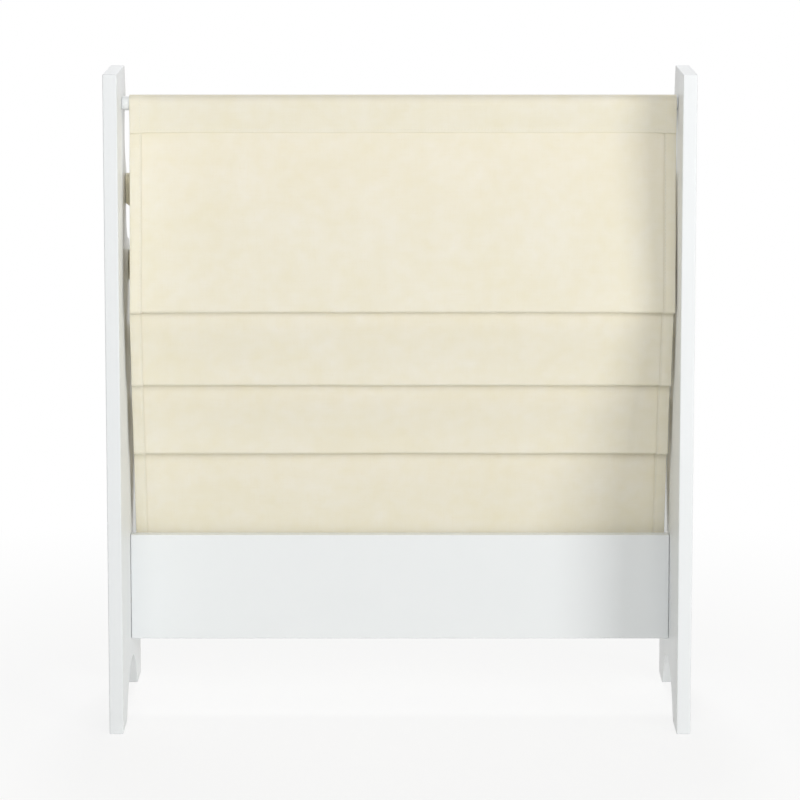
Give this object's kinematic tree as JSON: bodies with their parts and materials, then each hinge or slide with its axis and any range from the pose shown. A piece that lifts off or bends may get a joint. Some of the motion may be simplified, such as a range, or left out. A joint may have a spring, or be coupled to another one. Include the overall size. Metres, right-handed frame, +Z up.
{
  "type": "sling bookshelf",
  "caption": "Low children's bookshelf: waved side panels carry stepped rods, and a canvas sling hangs from them in front-facing pockets, over a stretcher board.",
  "frame": {"origin": "on the floor, at the middle of the footprint", "axes": "+Z up, the front with the pocket mouths faces -Y, the straight back edges face +Y, and X runs along the rods"},
  "size_m": [0.62, 0.29, 0.705],
  "materials": {
    "panel_paint": "satin white paint on fibreboard",
    "rod_paint": "satin white paint on a turned wooden rod",
    "canvas": "undyed cream cotton canvas, plain weave",
    "screw_zinc": "zinc-plated steel",
    "pin_beech": "plain turned beech"
  },
  "bodies": {
    "root": {"side_panel_left": "panel_paint", "rod_screw_left_1": "screw_zinc", "rod_screw_left_2": "screw_zinc", "rod_screw_left_3": "screw_zinc", "rod_screw_left_4": "screw_zinc", "rod_screw_left_5": "screw_zinc", "board_screw_left_1": "screw_zinc", "board_screw_left_2": "screw_zinc", "board_pin_left_1": "pin_beech", "board_pin_left_2": "pin_beech", "side_panel_right": "panel_paint", "rod_screw_right_1": "screw_zinc", "rod_screw_right_2": "screw_zinc", "rod_screw_right_3": "screw_zinc", "rod_screw_right_4": "screw_zinc", "rod_screw_right_5": "screw_zinc", "board_screw_right_1": "screw_zinc", "board_screw_right_2": "screw_zinc", "board_pin_right_1": "pin_beech", "board_pin_right_2": "pin_beech", "rod_1": "rod_paint", "rod_2": "rod_paint", "rod_3": "rod_paint", "rod_4": "rod_paint", "rod_5": "rod_paint", "sling_pocket_1": "canvas", "sling_pocket_2": "canvas", "sling_pocket_3": "canvas", "sling_pocket_4": "canvas", "stretcher_board": "panel_paint"}
  },
  "joints": []
}
